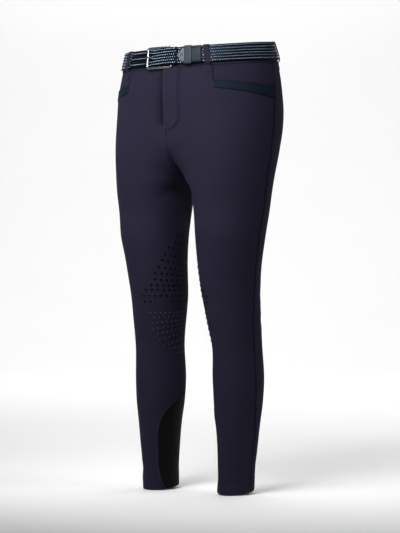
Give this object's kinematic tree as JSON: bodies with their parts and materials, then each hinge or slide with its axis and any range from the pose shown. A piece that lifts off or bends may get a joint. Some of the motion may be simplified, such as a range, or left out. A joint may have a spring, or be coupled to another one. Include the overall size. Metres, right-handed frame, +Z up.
{
  "type": "riding breeches with belt",
  "caption": "Full-length riding breeches in stretch cloth with slanted front pockets, dark calf inserts and grip dots at the knees, worn with a plaited leather belt and a square metal buckle.",
  "frame": {"origin": "middle of the waist opening, level with its top edge at the sides", "axes": "+Z up out of the waist, -Y to the wearer's front, +X to the wearer's left"},
  "size_m": [0.3608, 0.261, 0.9085],
  "materials": {
    "cloth": "matt stretch twill",
    "insert": "matt fine knit",
    "trim": "satin tape",
    "plait": "polished plait",
    "leather": "polished",
    "metal": "brushed"
  },
  "bodies": {
    "root": {"front_right": "cloth", "front_left": "cloth", "back_right": "cloth", "back_left": "cloth", "waistband_right": "cloth", "waistband_left": "cloth", "fly_flap": "cloth", "pocket_facing_right": "cloth", "pocket_facing_left": "cloth", "loop_front_right": "cloth", "loop_front_left": "cloth", "loop_side_right": "cloth", "loop_side_left": "cloth", "loop_back": "cloth", "calf_insert_right": "insert", "calf_insert_left": "insert", "pocket_trim_right": "trim", "pocket_trim_left": "trim", "belt_strap": "plait", "belt_tab": "leather", "belt_keeper": "leather", "buckle_frame": "metal", "buckle_prong": "metal"}
  },
  "joints": []
}
